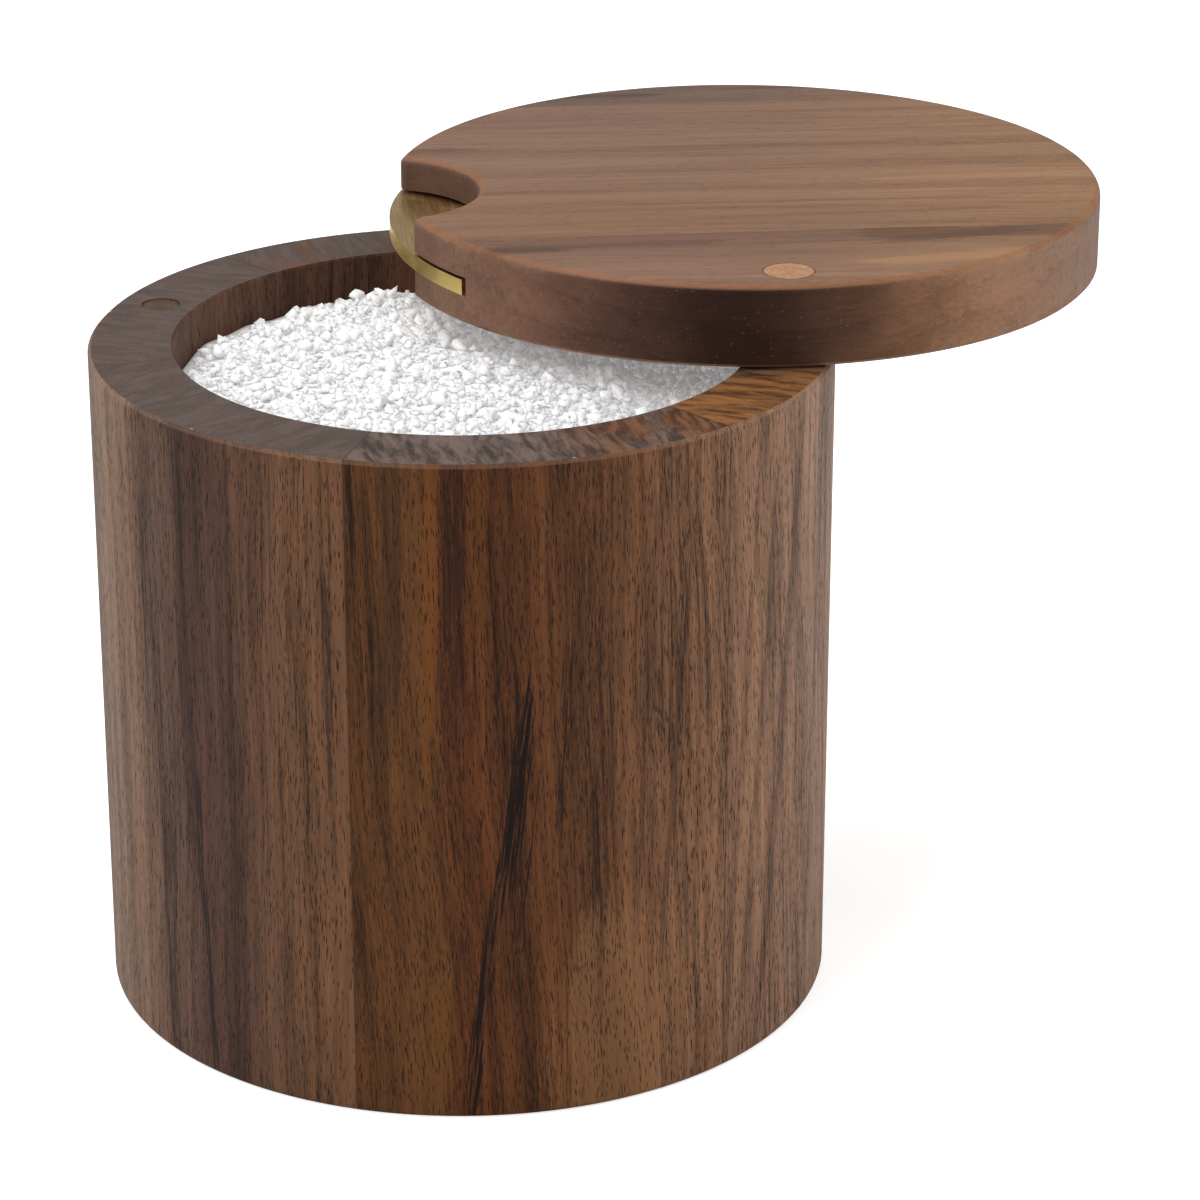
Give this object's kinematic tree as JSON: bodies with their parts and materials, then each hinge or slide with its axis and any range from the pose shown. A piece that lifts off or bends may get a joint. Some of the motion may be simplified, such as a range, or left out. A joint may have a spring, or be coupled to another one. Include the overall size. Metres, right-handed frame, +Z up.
{
  "type": "salt box",
  "caption": "Round wooden salt box of glued staves with a lid that swivels on a screw in the wall, a thumb notch bridged by a brass plate, and a magnet catch.",
  "frame": {"origin": "centre of the underside of the box", "axes": "+Z up; +X towards the swivel screw in the wall; -Y towards the front, where the thumb notch is when the lid is closed"},
  "size_m": [0.1516, 0.1635, 0.1184],
  "materials": {
    "body_wood": "satin oiled dark hardwood, upright grain",
    "base_wood": "satin oiled dark hardwood",
    "lid_wood": "satin oiled dark hardwood, level grain",
    "plug_pale": "satin pale plug, end grain up",
    "plug_dark": "satin dark plug, end grain up",
    "brass": "fine brushed",
    "steel": "zinc plated",
    "magnet": "nickel plated",
    "nylon": "natural nylon",
    "salt": "loose coarse salt, translucent white grains of 2 to 3 mm"
  },
  "bodies": {
    "box": {"stave_pivot": "body_wood", "stave_back_right": "body_wood", "stave_back_left": "body_wood", "stave_magnet": "body_wood", "stave_front_left": "body_wood", "stave_front_right": "body_wood", "base_disc": "base_wood", "swivel_screw": "steel", "spacer_washer": "nylon", "rim_magnet": "magnet", "rim_magnet_plug": "plug_dark", "salt_fill": "salt"},
    "lid": {"lid_board_pivot": "lid_wood", "lid_board_middle": "lid_wood", "lid_board_far": "lid_wood", "finger_plate": "brass", "head_washer": "steel", "screw_plug": "plug_pale", "lid_magnet": "magnet", "lid_magnet_plug": "plug_dark"}
  },
  "joints": [
    {"name": "lid_swivel", "type": "hinge", "parent": "box", "child": "lid", "pos_m": [0.0505, 0, 0.1054], "axis": [0, 0, 1], "continuous": true}
  ]
}
